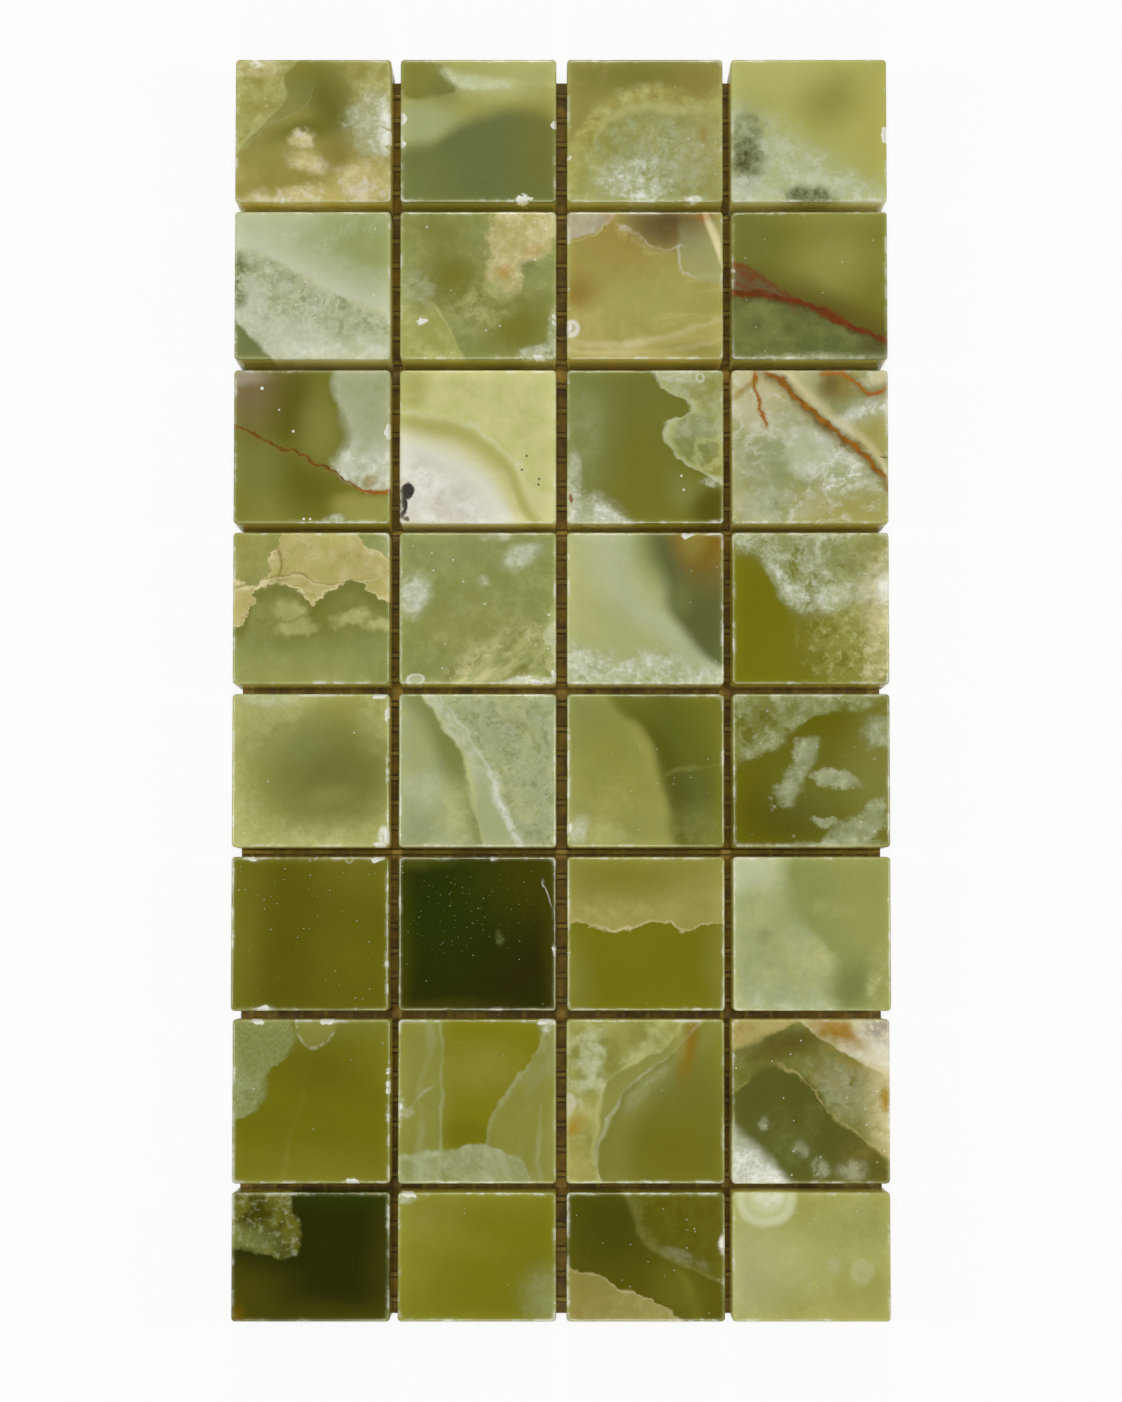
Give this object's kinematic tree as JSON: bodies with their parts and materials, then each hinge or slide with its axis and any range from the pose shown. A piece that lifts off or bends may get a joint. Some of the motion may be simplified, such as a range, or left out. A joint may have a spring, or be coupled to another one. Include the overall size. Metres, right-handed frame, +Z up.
{
  "type": "onyx mosaic tile sheet",
  "caption": "Flat mosaic sheet of polished green onyx chips in rows and columns, glued face up on a backing net, ready to be set on a wall or floor.",
  "frame": {"origin": "middle of the sheet's underside, on the plane that the net rests on", "axes": "+X towards the last column, +Y towards the first row along the sheet's length, +Z up through the polished faces"},
  "size_m": [0.1046, 0.2012, 0.0106],
  "materials": {
    "onyx_olive": "polished",
    "onyx_sage": "polished",
    "onyx_yellow_green": "polished",
    "onyx_dark": "polished",
    "net": "dried glue over glass yarn"
  },
  "bodies": {
    "root": {"chip_r1_c1": "onyx_olive", "chip_r1_c2": "onyx_yellow_green", "chip_r1_c3": "onyx_sage", "chip_r1_c4": "onyx_yellow_green", "chip_r2_c1": "onyx_sage", "chip_r2_c2": "onyx_olive", "chip_r2_c3": "onyx_yellow_green", "chip_r2_c4": "onyx_olive", "chip_r3_c1": "onyx_olive", "chip_r3_c2": "onyx_sage", "chip_r3_c3": "onyx_olive", "chip_r3_c4": "onyx_sage", "chip_r4_c1": "onyx_olive", "chip_r4_c2": "onyx_yellow_green", "chip_r4_c3": "onyx_yellow_green", "chip_r4_c4": "onyx_sage", "chip_r5_c1": "onyx_yellow_green", "chip_r5_c2": "onyx_sage", "chip_r5_c3": "onyx_yellow_green", "chip_r5_c4": "onyx_olive", "chip_r6_c1": "onyx_olive", "chip_r6_c2": "onyx_dark", "chip_r6_c3": "onyx_yellow_green", "chip_r6_c4": "onyx_sage", "chip_r7_c1": "onyx_olive", "chip_r7_c2": "onyx_olive", "chip_r7_c3": "onyx_olive", "chip_r7_c4": "onyx_dark", "chip_r8_c1": "onyx_dark", "chip_r8_c2": "onyx_olive", "chip_r8_c3": "onyx_dark", "chip_r8_c4": "onyx_sage", "net_band_1": "net", "net_band_2": "net", "net_band_3": "net", "net_band_4": "net"}
  },
  "joints": []
}
